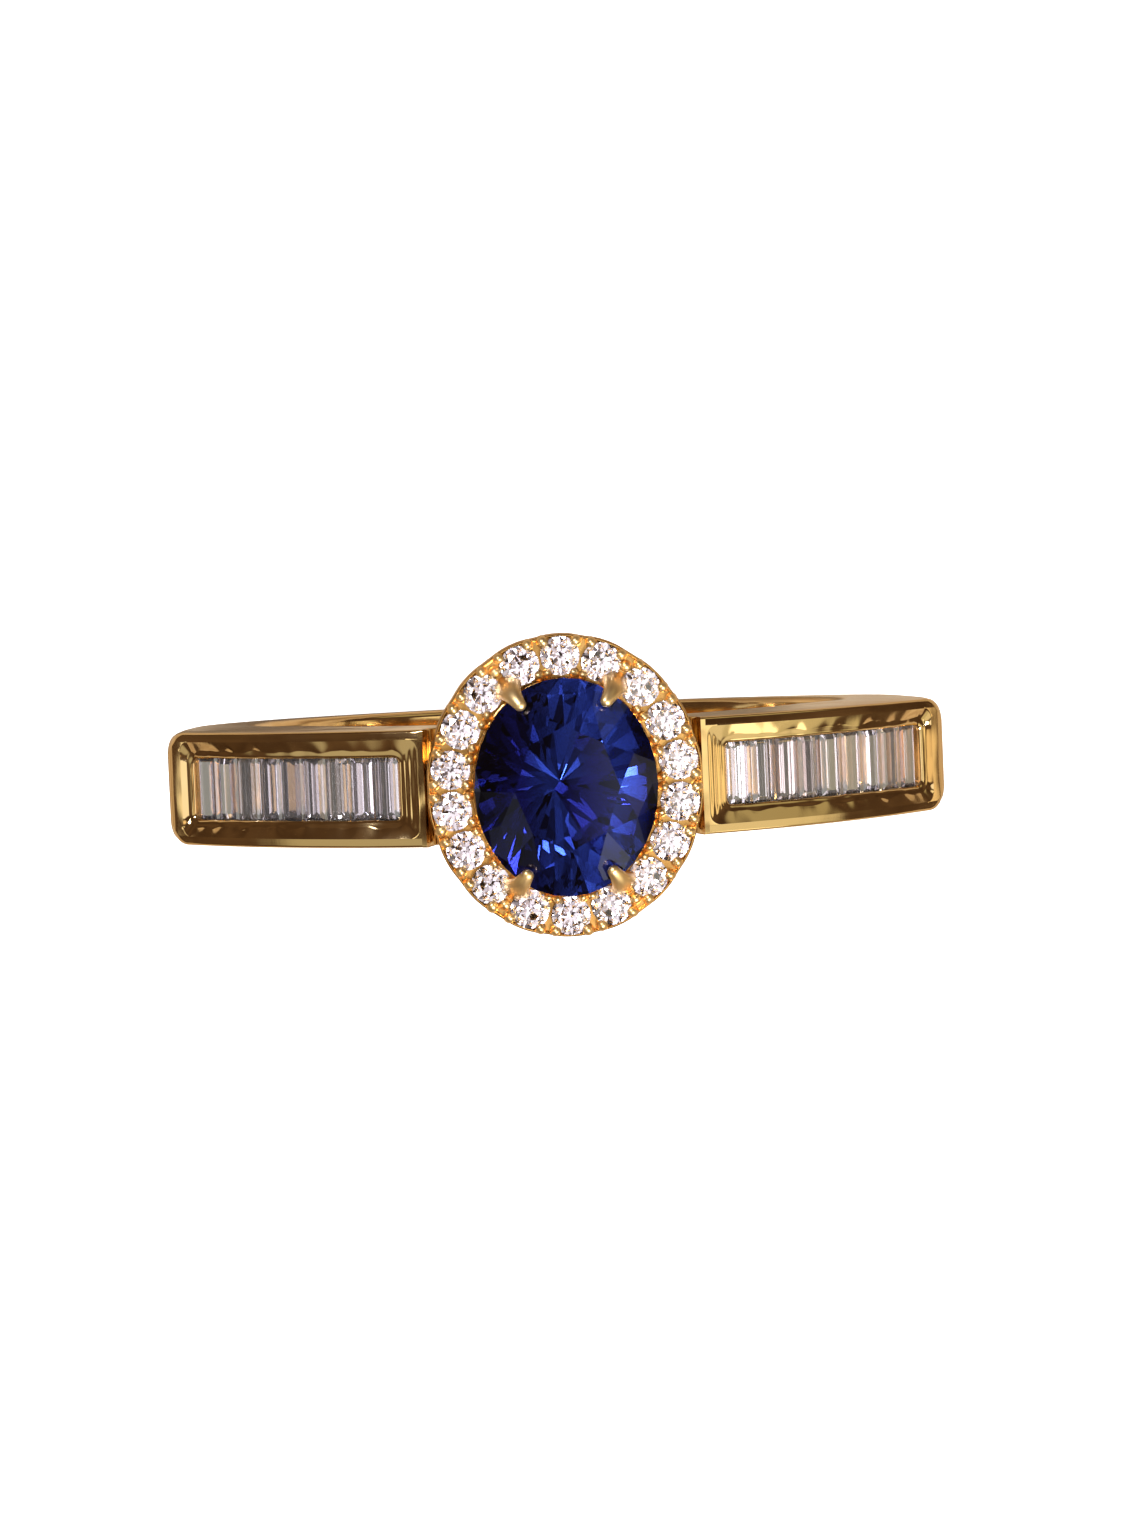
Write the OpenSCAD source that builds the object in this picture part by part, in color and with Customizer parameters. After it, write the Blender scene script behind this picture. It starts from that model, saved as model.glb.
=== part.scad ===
// Oval sapphire and diamond cluster ring with channel-set baguette shoulders.
// +Z points out of the head, the finger axis is Y, and the origin is the centre of the finger hole.

/* [Finger and hoop] */
// Inside diameter of the finger hole
finger_d = 17.3; // [17:0.1:17.5]
// Radial thickness of the hoop at the bottom
hoop_t = 1.85; // [1.7:0.05:1.95]
// Width of the hoop at the bottom
hoop_w = 1.8; // [1.7:0.1:2.6]
// How far the outside of the hoop falls away at its edges, at the bottom
hoop_crown = 0.35; // [0.1:0.05:0.4]

/* [Shoulders] */
// Width over the two channel rails beside the head
shoulder_w = 3.25; // [3.2:0.05:3.4]
// Width over the rails at the outer ends of the shoulders
end_w = 3.15; // [3.1:0.05:3.2]
// Radius of the long arc that the top of each shoulder follows
crest_r = 15.8; // [15.6:0.1:16]
// Distance of that arc's centre beyond the middle of the ring
crest_x = 0.9; // [0.8:0.05:1]
// Height that the arc would reach at its own centre
crest_z = 10.97; // [10.9:0.01:11.05]
// Angle at which the sides of the ring lean outwards
side_a = 4.4; // [3.8:0.1:4.5]
// Radius where the top of a shoulder turns over into the side
turn_r = 0.6; // [0.4:0.05:0.7]
// Radius of the ring's four corners in plan
corner_r = 0.5; // [0.3:0.05:0.6]

/* [Channels and baguettes] */
// Depth of the channel rails, square to the crest
channel_h = 1.45; // [1.4:0.01:1.5]
// Angle on the crest at which the row of baguettes starts
row_a = 20.3; // [20.2:0.1:20.4]
// Baguettes in each shoulder
baguettes = 9; // [7:1:9]
// Room along the crest for each baguette
baguette_pitch = 0.75; // [0.72:0.01:0.76]
// Length of a baguette across the band
baguette_l = 1.86; // [1.86:0.01:1.87]

/* [Head] */
// Height of the top of the bridge that carries the head
bridge_z = 9.35; // [9.3:0.01:9.38]
// Height of the top face of the halo plate
plate_z = 11.45; // [11.4:0.01:11.46]
// Half-width of the halo plate, across the finger
plate_x = 3.78; // [3.78:0.01:3.9]
// Half-length of the halo plate, along the finger
plate_y = 4.14; // [4.14:0.01:4.25]
// Diameter of each halo diamond
halo_d = 1.08; // [1:0.01:1.08]
// Gap between halo stones beside a claw, as a share of the gap elsewhere
claw_gap = 1.12; // [1.1:0.01:1.15]

/* [Centre stone] */
// Width of the sapphire
sapphire_w = 5; // [4.95:0.01:5.05]
// Length of the sapphire
sapphire_l = 5.96; // [5.9:0.01:6]
// Height of the sapphire's girdle
girdle_z = 12; // [12:0.01:12.1]
// Height of the sapphire's crown
crown_h = 0.78; // [0.7:0.01:0.85]
// Depth of the sapphire's pavilion
pavilion_h = 2.45; // [2.3:0.01:2.5]

/* [Hidden] */
$fn = 96;
GOLD = "#c9a24e";
DIAMOND = "#e6e4ea";
SAPPHIRE = "#1c2a9c";
halo_count = 18;
claw_count = 4;
gap = 0.01;
bore_r = finger_d / 2;
hoop_r = bore_r + hoop_t;
centre_z = crest_z - crest_r;
floor_r = crest_r - channel_h;
stone_top = 0.3;
stone_crown = 0.16;
stone_girdle = 0.06;
stone_step = 0.3;
stone_depth = 0.65;
girdle_r = crest_r - stone_top - stone_crown;
pitch_a = baguette_pitch / girdle_r * 180 / PI;
bar_a = 2.4;
channel_a = row_a - bar_a;
lip_a = channel_a - 0.5;
slot_half = baguette_l / 2 + gap;
lip_half = 0.86;
bearing_half = 0.82;
bevel_h = 0.26;
end_bevel_h = 0.24;
lip_t = 0.05;
above = 0.2;
rim_half = shoulder_w / 2 - 0.27;
bed_t = 0.26;
halo_ax = 3.15;
halo_ay = 3.55;
halo_even = (halo_ay - halo_ax) / (halo_ay + halo_ax) / 2 * 180 / PI;
halo_step = 90 / (3.5 + claw_gap);
claw_a = 2.5 * halo_step + claw_gap * halo_step / 2;
seat_x = 2.45;
seat_y = 2.85;
base_x = 2.88;
base_y = 2.65;
base_top = bridge_z + 0.4;
plate_bottom = plate_z - 0.8;
wall = 0.45;
halo_girdle = 0.04;
halo_table = 0.58;
halo_crown = 0.17;
halo_pavilion = 0.46;
claw_stem_z = plate_z + 0.22;
claw_bend_r = 0.84;
claw_bend_a = 65;
claw_set_in = 0.45;

// ---- Points and outlines ----

function arc(c, r, a0, a1, n) = [for (i = [0:n]) let (a = a0 + (a1 - a0) * i / n)
    [c[0] + r * cos(a), c[1] + r * sin(a)]];

function flip(points) = [for (i = [len(points) - 1:-1:0]) [-points[i][0], points[i][1]]];

function ellipse_ring(rx, ry, z, n) = [for (i = [0:n - 1]) [rx * cos(360 * i / n), ry * sin(360 * i / n), z]];

function box_ring(hx, hy, z) = [[hx, hy, z], [-hx, hy, z], [-hx, -hy, z], [hx, -hy, z]];

// A closed solid through rings of equally many points, listed from the top down.
module loft(rings) {
    n = len(rings[0]);
    last = len(rings) - 1;
    sides = [for (k = [0:last - 1], j = [0:n - 1])
        [(k + 1) * n + j, k * n + j, k * n + (j + 1) % n, (k + 1) * n + (j + 1) % n]];
    top = [for (j = [n:-1:1]) j % n];
    bottom = [for (j = [0:n - 1]) last * n + j];
    polyhedron(points = [for (r = rings, p = r) p], faces = concat([top], sides, [bottom]), convexity = 4);
}

// ---- The ring seen along the finger ----

crest_c = [-crest_x, centre_z];
side_n = [cos(side_a), -sin(side_a)];
side_d = [sin(side_a), cos(side_a)];
side_start = hoop_r * side_n;
to_crest = side_start - turn_r * side_n - crest_c;
turn_run = -to_crest * side_d
    + sqrt(pow(to_crest * side_d, 2) - to_crest * to_crest + pow(crest_r - turn_r, 2));
turn_c = side_start - turn_r * side_n + turn_run * side_d;
turn_a = atan2(turn_c[1] - crest_c[1], turn_c[0] - crest_c[0]);
lip = [crest_c[0] + crest_r * sin(lip_a), crest_c[1] + crest_r * cos(lip_a)];
collar_r = lip[1] - bridge_z;

shoulder_half = concat(
    [side_start],
    arc(turn_c, turn_r, -side_a, turn_a, 8),
    arc(crest_c, crest_r, turn_a + 1, 90 - lip_a, 24),
    arc([lip[0] - collar_r, lip[1]], collar_r, -8, -90, 10)
);

// The upper part of the ring, from the sides up, before the finger hole is cut.
module shoulder_block() {
    rotate([90, 0, 0])
        linear_extrude(height = shoulder_w + 0.4, center = true, convexity = 4)
            polygon(concat(shoulder_half, flip(shoulder_half)));
}

// The hoop's section at angle a: flat outside beside the shoulders, rounding as it nears the bottom.
function hoop_ring(a) = let (
    half = shoulder_w / 2 + 0.2,
    round_share = pow(max(0, sin(180 + a) - sin(side_a)), 1.5),
    outside = [for (k = [5:-1:-5]) let (y = half * k / 5)
        [hoop_r - hoop_crown * round_share * pow(2 * y / hoop_w, 2), y]]
) [for (p = concat([[bore_r - 0.3, -half], [bore_r - 0.3, half]], outside)) [p[0] * cos(a), p[1], p[0] * sin(a)]];

module lower_hoop() {
    steps = 36;
    loft([for (k = [0:steps]) hoop_ring(180 + side_a + k * (180 - 2 * side_a) / steps)]);
}

// How wide the ring may be at each height.
module width_limit() {
    right = [
        [hoop_w / 2, -hoop_r - 0.5], [end_w / 2, turn_c[1]], [shoulder_w / 2, lip[1]],
        [shoulder_w / 2, lip[1] + 2]
    ];
    rotate([90, 0, 90])
        linear_extrude(height = 4 * hoop_r, center = true)
            polygon(concat(right, [for (i = [len(right) - 1:-1:0]) [-right[i][0], right[i][1]]]));
}

// The ring's plan, with its four rounded corners.
module plan_limit() {
    half = turn_c[0] + turn_r + gap;
    corner = arc([half - corner_r, end_w / 2 - corner_r], corner_r, 0, 80, 8);
    right_back = concat(corner, [[0, shoulder_w]]);
    right_front = [for (i = [len(right_back) - 1:-1:0]) [right_back[i][0], -right_back[i][1]]];
    right = concat(right_front, right_back);
    translate([0, 0, -2 * hoop_r])
        linear_extrude(height = 4 * hoop_r)
            polygon(concat(right, flip(right)));
}

// Sweeps a flat outline, in distance from the crest's centre and distance across the band, along the crest.
module along_crest(a0, a1) {
    translate([-crest_x, 0, centre_z])
        rotate([90, 0, 0])
            rotate([0, 0, 90 - a1])
                rotate_extrude(angle = a1 - a0, $fn = 360)
                    children();
}

module mirrored_if(flipped, axis) {
    mirror(flipped ? axis : [0, 0, 0]) children();
}

// ---- Shank ----

module channel_space() {
    along_crest(channel_a, 75)
        translate([floor_r, -shoulder_w])
            square([4, 2 * shoulder_w]);
}

module shank() {
    color(GOLD)
        difference() {
            intersection() {
                union() {
                    shoulder_block();
                    lower_hoop();
                }
                width_limit();
                plan_limit();
            }
            rotate([90, 0, 0])
                cylinder(r = bore_r, h = 2 * shoulder_w, center = true, $fn = 180);
            channel_space();
            mirror([1, 0, 0]) channel_space();
        }
}

// ---- Channels ----

// Half of the space between the rails, which the bed and its end bars fill.
slot_profile = [
    [floor_r, 0], [floor_r, bearing_half], [girdle_r - 0.25, bearing_half], [girdle_r - 0.07, slot_half],
    [girdle_r, slot_half], [crest_r - bevel_h - lip_t, lip_half], [crest_r - bevel_h, lip_half],
    [crest_r + above, rim_half + above * (rim_half - lip_half) / bevel_h], [crest_r + above, 0]
];

module back_rail_right() {
    intersection() {
        along_crest(channel_a, 75)
            mirror([0, 1])
                difference() {
                    translate([floor_r, 0])
                        square([channel_h + 0.1, shoulder_w]);
                    polygon(slot_profile);
                }
        shoulder_block();
        width_limit();
        plan_limit();
    }
}

module rail(left, front) {
    color(GOLD)
        mirrored_if(left, [1, 0, 0])
            mirrored_if(front, [0, 1, 0])
                back_rail_right();
}

module bed_profile() {
    other_half = [for (i = [len(slot_profile) - 2:-1:1]) [slot_profile[i][0], -slot_profile[i][1]]];
    intersection() {
        polygon(concat([for (i = [1:len(slot_profile) - 2]) slot_profile[i]], other_half));
        translate([floor_r, -shoulder_w / 2])
            square([channel_h + 0.1, shoulder_w]);
    }
}

// Places children on the crest at angle a, with +Z square to the shoulder.
module on_crest(a) {
    translate([-crest_x, 0, centre_z])
        rotate([0, a, 0])
            translate([0, 0, crest_r])
                children();
}

// The slope cut on the stone side of an end bar, leaning away by run.
module end_bevel(run) {
    rotate([90, 0, 0])
        linear_extrude(height = shoulder_w, center = true)
            polygon([[0, -end_bevel_h], [2 * run, end_bevel_h], [0, end_bevel_h]]);
}

module channel_bed(left) {
    row_start = row_a - 0.04;
    row_end = row_a + baguettes * pitch_a + 0.04;
    color(GOLD)
        mirrored_if(left, [1, 0, 0])
            difference() {
                intersection() {
                    along_crest(channel_a, 75) bed_profile();
                    shoulder_block();
                    plan_limit();
                }
                along_crest(row_start, row_end)
                    translate([floor_r + bed_t, -shoulder_w])
                        square([channel_h, 2 * shoulder_w]);
                on_crest(row_start) end_bevel(-0.33);
                on_crest(row_end) end_bevel(0.3);
            }
}

// A straight baguette: flat table, one crown step and two pavilion steps down to a keel.
module baguette_stone() {
    hx = baguette_pitch / 2 - gap / 2;
    hy = baguette_l / 2;
    loft([
        box_ring(hx * 0.62, hy - 0.26, stone_crown),
        box_ring(hx, hy, 0),
        box_ring(hx, hy, -stone_girdle),
        box_ring(hx * 0.66, hy - 0.23, -stone_girdle - stone_step),
        box_ring(hx * 0.06, hy - 0.5, -stone_girdle - stone_depth)
    ]);
}

module baguette(left, i) {
    a = row_a + (i - 0.5) * pitch_a;
    color(DIAMOND)
        mirrored_if(left, [1, 0, 0])
            on_crest(a)
                translate([0, 0, girdle_r - crest_r])
                    baguette_stone();
}

// ---- Brilliant-cut stones ----

// Points of a brilliant of radius 1 in plan, stretched to rx by ry, with its girdle's lower edge at z = 0.
function brilliant_points(rx, ry, crown, girdle, pavilion, table) = let (
    star = (1 + table) / 2 + 0.02,
    star_z = girdle + crown * (1 - star * cos(22.5)) / (1 - table),
    half = 0.28,
    half_z = -pavilion * (1 - half * cos(22.5))
) concat(
    [for (k = [0:7]) [rx * table * cos(45 * k), ry * table * sin(45 * k), girdle + crown]],
    [for (k = [0:7]) [rx * star * cos(45 * k + 22.5), ry * star * sin(45 * k + 22.5), star_z]],
    [for (j = [0:15]) [rx * cos(22.5 * j), ry * sin(22.5 * j), girdle]],
    [for (j = [0:15]) [rx * cos(22.5 * j), ry * sin(22.5 * j), 0]],
    [for (k = [0:7]) [rx * half * cos(45 * k + 22.5), ry * half * sin(45 * k + 22.5), half_z]],
    [[0, 0, -pavilion]]
);

brilliant_faces = let (t = 0, m = 8, g = 16, h = 32, p = 48, culet = 56) concat(
    [[for (k = [7:-1:0]) t + k]],
    [for (k = [0:7]) [t + k, t + (k + 1) % 8, m + k]],
    [for (k = [0:7]) [t + k, m + k, g + 2 * k, m + (k + 7) % 8]],
    [for (k = [0:7]) [m + k, g + 2 * k + 1, g + 2 * k]],
    [for (k = [0:7]) [m + k, g + (2 * k + 2) % 16, g + 2 * k + 1]],
    [for (j = [0:15]) [h + j, g + j, g + (j + 1) % 16, h + (j + 1) % 16]],
    [for (k = [0:7]) [p + k, h + 2 * k, h + 2 * k + 1]],
    [for (k = [0:7]) [p + k, h + 2 * k + 1, h + (2 * k + 2) % 16]],
    [for (k = [0:7]) [culet, p + (k + 7) % 8, h + 2 * k, p + k]]
);

module sapphire_stone(extra) {
    translate([0, 0, girdle_z - 0.05 - extra])
        polyhedron(
            points = brilliant_points(sapphire_w / 2 + extra, sapphire_l / 2 + extra, crown_h + extra,
                0.1 + extra, pavilion_h + extra, 0.58),
            faces = brilliant_faces
        );
}

module sapphire() {
    color(SAPPHIRE) sapphire_stone(0);
}

// ---- Halo ----

function even_angle(a) = a - halo_even * sin(2 * a);

// Angle of halo stone i: six on each long side, three at each end, with a wider gap at each claw.
function halo_angle(i) =
    i < 6 ? (i - 2.5) * halo_step :
    i < 9 ? 90 + (i - 7) * halo_step :
    i < 15 ? 180 + (i - 11.5) * halo_step : 270 + (i - 16) * halo_step;

// Places children at a point on the stones' oval, set in by a distance, with +X pointing outwards.
module on_halo(angle, inwards = 0) {
    t = even_angle(angle);
    out_a = atan2(sin(t) / halo_ay, cos(t) / halo_ax);
    translate([halo_ax * cos(t), halo_ay * sin(t), 0])
        rotate([0, 0, out_a])
            translate([-inwards, 0, 0])
                children();
}

module halo_diamond(i) {
    color(DIAMOND)
        on_halo(halo_angle(i - 1))
            translate([0, 0, plate_z])
                polyhedron(
                    points = brilliant_points(halo_d / 2, halo_d / 2, halo_crown, halo_girdle,
                        halo_pavilion, halo_table),
                    faces = brilliant_faces
                );
}

function claw_angle(i) = i == 1 ? claw_a : i == 2 ? 180 - claw_a : i == 3 ? 180 + claw_a : 360 - claw_a;

// The room that one halo stone takes in the plate, with a drilled hole below it.
module halo_seat() {
    r = halo_d / 2 + gap;
    translate([0, 0, plate_z - halo_pavilion - 0.02])
        cylinder(r1 = 0.02, r2 = r, h = halo_pavilion + 0.02, $fn = 72);
    translate([0, 0, plate_bottom - 1])
        cylinder(r = 0.26, h = plate_z - plate_bottom + 0.6, $fn = 48);
}

module plate_blank(rx, ry, z, h) {
    translate([0, 0, z])
        linear_extrude(height = h)
            scale([rx, ry])
                circle(r = 1);
}

module halo_plate() {
    color(GOLD)
        difference() {
            plate_blank(plate_x, plate_y, plate_bottom, plate_z - plate_bottom);
            plate_blank(seat_x, seat_y, plate_bottom - 1, 3);
            for (i = [0:halo_count - 1])
                on_halo(halo_angle(i)) halo_seat();
        }
}

// One grain of gold, its foot on the plate and its side cut away over the edge of its stone.
module grain(r) {
    stem = 0.08;
    translate([0, 0, plate_z])
        rotate_extrude($fn = 32) {
            square([r, stem]);
            translate([0, stem])
                intersection() {
                    circle(r = r);
                    square(r);
                }
        }
}

module stone_grains(i) {
    claw_above = i == 5 || i == 8 || i == 14 || i == 17;
    claw_below = i == 6 || i == 9 || i == 15 || i == 0;
    reach = halo_d / 2 + 0.07;
    outer_a = 48;
    inner_a = 144;
    difference() {
        union() {
            for (side = [-1, 1])
                rotate([0, 0, side * outer_a])
                    translate([reach, 0, 0]) grain(0.12);
            for (side = [-1, 1])
                if (!(side > 0 && claw_above) && !(side < 0 && claw_below))
                    rotate([0, 0, side * inner_a])
                        translate([reach, 0, 0]) grain(0.1);
        }
        translate([0, 0, plate_z - 0.1])
            cylinder(r = halo_d / 2 + gap, h = halo_girdle + 0.1 + gap, $fn = 48);
        translate([0, 0, plate_z + halo_girdle + gap])
            cylinder(r1 = halo_d / 2 + gap, r2 = halo_d / 2 * halo_table + gap, h = halo_crown, $fn = 48);
    }
}

module halo_grains() {
    color(GOLD) {
        for (i = [0:halo_count - 1])
            on_halo(halo_angle(i)) stone_grains(i);
        for (i = [1:claw_count])
            on_halo(claw_angle(i), -0.2) grain(0.11);
    }
}

// ---- Head ----

module head_base_rail() {
    color(GOLD)
        difference() {
            plate_blank(base_x, base_y, bridge_z, base_top - bridge_z);
            plate_blank(base_x - 0.55, base_y - 0.55, bridge_z - 1, 3);
        }
}

// The oval wall that opens out from the base rail to the plate, pierced all round.
module under_gallery() {
    n = 48;
    holes = 14;
    top_x = plate_x - 0.2;
    top_y = plate_y - 0.22;
    mid_z = (base_top + plate_bottom) / 2;
    color(GOLD)
        difference() {
            loft([ellipse_ring(top_x, top_y, plate_bottom, n), ellipse_ring(base_x, base_y, base_top, n)]);
            loft([
                ellipse_ring(top_x - wall + 0.03, top_y - wall + 0.06, plate_bottom + 0.05, n),
                ellipse_ring(base_x - wall - 0.03, base_y - wall - 0.06, base_top - 0.05, n)
            ]);
            for (k = [0:holes - 1])
                translate([0, 0, mid_z])
                    rotate([0, 90, (k + 0.5) * 360 / holes])
                        cylinder(r = 0.27, h = 2 * plate_y, $fn = 24);
        }
}

// The bearer that the sapphire rests in.
module sapphire_seat() {
    n = 64;
    top = plate_z + 0.27;
    color(GOLD)
        difference() {
            loft([ellipse_ring(seat_x, seat_y, top, n), ellipse_ring(seat_x, seat_y, plate_bottom, n)]);
            loft([
                ellipse_ring(seat_x - 0.13, seat_y - 0.11, top + 0.01, n),
                ellipse_ring(seat_x - 0.55, seat_y - 0.55, plate_bottom - 0.01, n)
            ]);
        }
}

// A circle of the claw's section: set in by u, at height z, leaning inwards by a.
function claw_ring(u, z, r, a, n) = [for (j = [0:n - 1]) let (b = 360 * j / n)
    [-u - r * cos(a) * cos(b), -r * sin(b), z - r * sin(a) * cos(b)]];

function claw_radius(s) = s < 0.35 ? 0.19 + 0.1 * sin(90 * s / 0.35) : 0.29 - 0.11 * (s - 0.35) / 0.65;

function claw_bend(s) = let (a = claw_bend_a * s)
    [claw_bend_r * (1 - cos(a)), claw_stem_z + claw_bend_r * sin(a)];

module claw(i) {
    n = 16;
    steps = 9;
    tip = claw_bend(1);
    tip_r = claw_radius(1);
    round_end = [for (b = [80, 55, 30]) claw_ring(tip[0] + tip_r * sin(claw_bend_a) * sin(b),
        tip[1] + tip_r * cos(claw_bend_a) * sin(b), tip_r * cos(b), claw_bend_a, n)];
    bend = [for (k = [steps:-1:0]) let (p = claw_bend(k / steps))
        claw_ring(p[0], p[1], claw_radius(k / steps), claw_bend_a * k / steps, n)];
    color(GOLD)
        difference() {
            on_halo(claw_angle(i), claw_set_in)
                loft(concat(round_end, bend, [claw_ring(0, plate_z, claw_radius(0), 0, n)]));
            sapphire_stone(0.01);
        }
}

shank();
channel_bed(true);  // left_channel_bed
channel_bed(false);  // right_channel_bed
rail(true, true);  // left_front_rail
rail(true, false);  // left_back_rail
rail(false, true);  // right_front_rail
rail(false, false);  // right_back_rail
head_base_rail();
under_gallery();
halo_plate();
halo_grains();
sapphire_seat();
sapphire();
for (i = [1:claw_count])
    claw(i);
for (i = [1:halo_count])
    halo_diamond(i);
for (i = [1:baguettes])
    baguette(true, i);
for (i = [1:baguettes])
    baguette(false, i);
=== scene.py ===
"""An oval sapphire and diamond cluster ring with channel-set baguette shoulders."""

import math
import random

import bmesh
import bpy
from mathutils import Matrix, Vector


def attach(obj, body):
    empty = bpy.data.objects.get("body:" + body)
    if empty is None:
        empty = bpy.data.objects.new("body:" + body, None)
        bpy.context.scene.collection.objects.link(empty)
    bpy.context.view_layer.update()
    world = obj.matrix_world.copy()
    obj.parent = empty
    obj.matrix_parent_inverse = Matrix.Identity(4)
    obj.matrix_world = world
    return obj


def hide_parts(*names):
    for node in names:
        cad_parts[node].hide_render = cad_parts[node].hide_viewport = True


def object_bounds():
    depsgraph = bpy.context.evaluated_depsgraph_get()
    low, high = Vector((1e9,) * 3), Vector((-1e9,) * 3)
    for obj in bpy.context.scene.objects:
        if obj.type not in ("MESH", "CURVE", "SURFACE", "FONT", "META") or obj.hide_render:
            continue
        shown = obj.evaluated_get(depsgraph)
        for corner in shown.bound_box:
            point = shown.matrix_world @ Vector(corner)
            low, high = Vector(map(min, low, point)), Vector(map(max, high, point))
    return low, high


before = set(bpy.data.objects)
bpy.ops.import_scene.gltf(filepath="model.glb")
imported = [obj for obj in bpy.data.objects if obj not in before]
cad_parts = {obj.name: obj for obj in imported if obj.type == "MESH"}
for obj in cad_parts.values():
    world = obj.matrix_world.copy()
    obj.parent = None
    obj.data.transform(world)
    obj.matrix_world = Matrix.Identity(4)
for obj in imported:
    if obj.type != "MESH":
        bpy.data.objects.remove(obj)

CAD_BOX = [list(corner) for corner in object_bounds()]
MM = 0.001
SIDES = {"left": -1, "right": 1}
BODY = "root"

# ---- Sizes in millimetres: +Z out of the head, Y along the finger, origin at the finger hole's centre ----

BORE_R = 8.65
HOOP_R = 10.5
HOOP_HALF_W = 0.9
HOOP_CROWN = 0.33
HOOP_FILLET = 0.3
COMFORT_R = 0.18
HALF_W = 1.625
END_HALF_W = 1.575
PLAN_CORNER = 0.5
CREST_C = (-0.9, -4.83)
CREST_R = 15.8
FLOOR_R = 14.35
BED_R = 14.61
SIDE_A = math.radians(4.4)
TURN_R = 0.6
CHANNEL_A = math.radians(17.9)
LIP_A = math.radians(17.4)
ROW_A = math.radians(20.3)
PITCH_A = 0.75 / 15.34
BAGUETTES = 9
LIP_HALF = 0.86
STONE_HALF = 0.94
LIP_CORNER = 0.16
RIM_W = 0.26
RIM_FALL = 0.06
RIM_CORNER = 0.3
LIP_W = 0.20
LIP_DROP = 0.14
LIP_WANDER = 0.012
LIP_UNDER = 0.44
GIRDLE_DROP = 0.46
CREST_FILLET = 0.1
SIDE_FILLET = 0.32
END_BEVEL = 0.62
COLLAR_R = 0.9
BRIDGE_Z = 9.35
BRIDGE_FILLET = 0.07

PLATE_TOP = 11.45
PLATE_BOTTOM = 10.65
PLATE_RX = 3.78
PLATE_RY = 4.14
PLATE_SEGMENTS = 288
SEAT_RX = 2.45
SEAT_RY = 2.85
HALO_RX = 3.15
HALO_RY = 3.55
HALO_D = 1.08
HALO_COUNT = 18
CLAW_GAP = 1.12
HALO_STEP = math.radians(90 / (3.5 + CLAW_GAP))
HALO_EVEN = (HALO_RY - HALO_RX) / (HALO_RY + HALO_RX) / 2
CLAW_A = (2.5 + CLAW_GAP / 2) * HALO_STEP
BASE_RX = 2.88
BASE_RY = 2.65
BASE_TOP = BRIDGE_Z + 0.4

SMOOTH_UNDER = math.radians(22)
# How strongly stations crowd towards the corner where the leaning side meets the channel floor.
CROWDING = 1.6
# How much further the side's rounding runs along the frame's rays, which meet the side at a slant.
SIDE_STRETCH = 0.31


# ---- Mesh helpers ----

def finished(piece, node, material):
    """Makes a piece stand for a CAD node and gives it its look."""
    piece.data.materials.clear()
    piece.data.materials.append(material)
    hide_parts(node)
    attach(piece, BODY)


def smooth(mesh_data, angle=SMOOTH_UNDER):
    """Smooth shading, except at edges sharper than an angle."""
    mesh_data.shade_smooth()
    mesh_data.set_sharp_from_angle(angle=angle)


def new_piece(name, verts, faces):
    """A mesh object from points in millimetres, with its faces turned outwards."""
    data = bpy.data.meshes.new(name)
    data.from_pydata([tuple(c * MM for c in v) for v in verts], [], faces)
    edit = bmesh.new()
    edit.from_mesh(data)
    bmesh.ops.remove_doubles(edit, verts=edit.verts, dist=0.0008 * MM)
    bmesh.ops.dissolve_degenerate(edit, edges=edit.edges, dist=0.0005 * MM)
    bmesh.ops.recalc_face_normals(edit, faces=edit.faces)
    edit.to_mesh(data)
    edit.free()
    smooth(data)
    piece = bpy.data.objects.new(name, data)
    bpy.context.scene.collection.objects.link(piece)
    return piece


def weighted(piece):
    """Gives large faces more say in the normals, so that they stay flat beside narrow fillets."""
    modifier = piece.modifiers.new("normals", "WEIGHTED_NORMAL")
    modifier.keep_sharp = True
    return piece


def loft(rings, closed=False):
    """Points and faces through rings of equally many points; closed joins the last ring to the first."""
    count = len(rings[0])
    verts = [p for ring in rings for p in ring]
    faces = []
    spans = len(rings) if closed else len(rings) - 1
    for k in range(spans):
        low = k * count
        high = ((k + 1) % len(rings)) * count
        for j in range(count):
            nxt = (j + 1) % count
            faces.append((low + j, low + nxt, high + nxt, high + j))
    if not closed:
        faces.append(tuple(range(count)))
        faces.append(tuple(range(len(verts) - count, len(verts))))
    return verts, faces


def slab(top, bottom):
    """A closed body between two grids of points with the same rows and columns."""
    rows = len(top)
    cols = len(top[0])
    verts = [p for row in top for p in row] + [p for row in bottom for p in row]
    below = rows * cols
    faces = []
    for i in range(rows - 1):
        for j in range(cols - 1):
            a = i * cols + j
            faces.append((a, a + 1, a + cols + 1, a + cols))
            faces.append((below + a, below + a + cols, below + a + cols + 1, below + a + 1))
    for i in range(rows - 1):
        for a in (i * cols, i * cols + cols - 1):
            faces.append((a, a + cols, below + a + cols, below + a))
    for j in range(cols - 1):
        for a in (j, (rows - 1) * cols + j):
            faces.append((a, a + 1, below + a + 1, below + a))
    return verts, faces


def joined(parts):
    """The points and faces of several bodies as those of one mesh."""
    verts, faces = [], []
    for part_verts, part_faces in parts:
        start = len(verts)
        verts += part_verts
        faces += [tuple(i + start for i in face) for face in part_faces]
    return verts, faces


def spaced(low, high, count):
    """Evenly spaced values from low to high, count steps apart."""
    return [low + (high - low) * i / count for i in range(count + 1)]


def eased(x):
    """0 up to x = 0, 1 from x = 1, and a smooth step between them."""
    x = min(max(x, 0.0), 1.0)
    return x * x * (3 - 2 * x)


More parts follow.
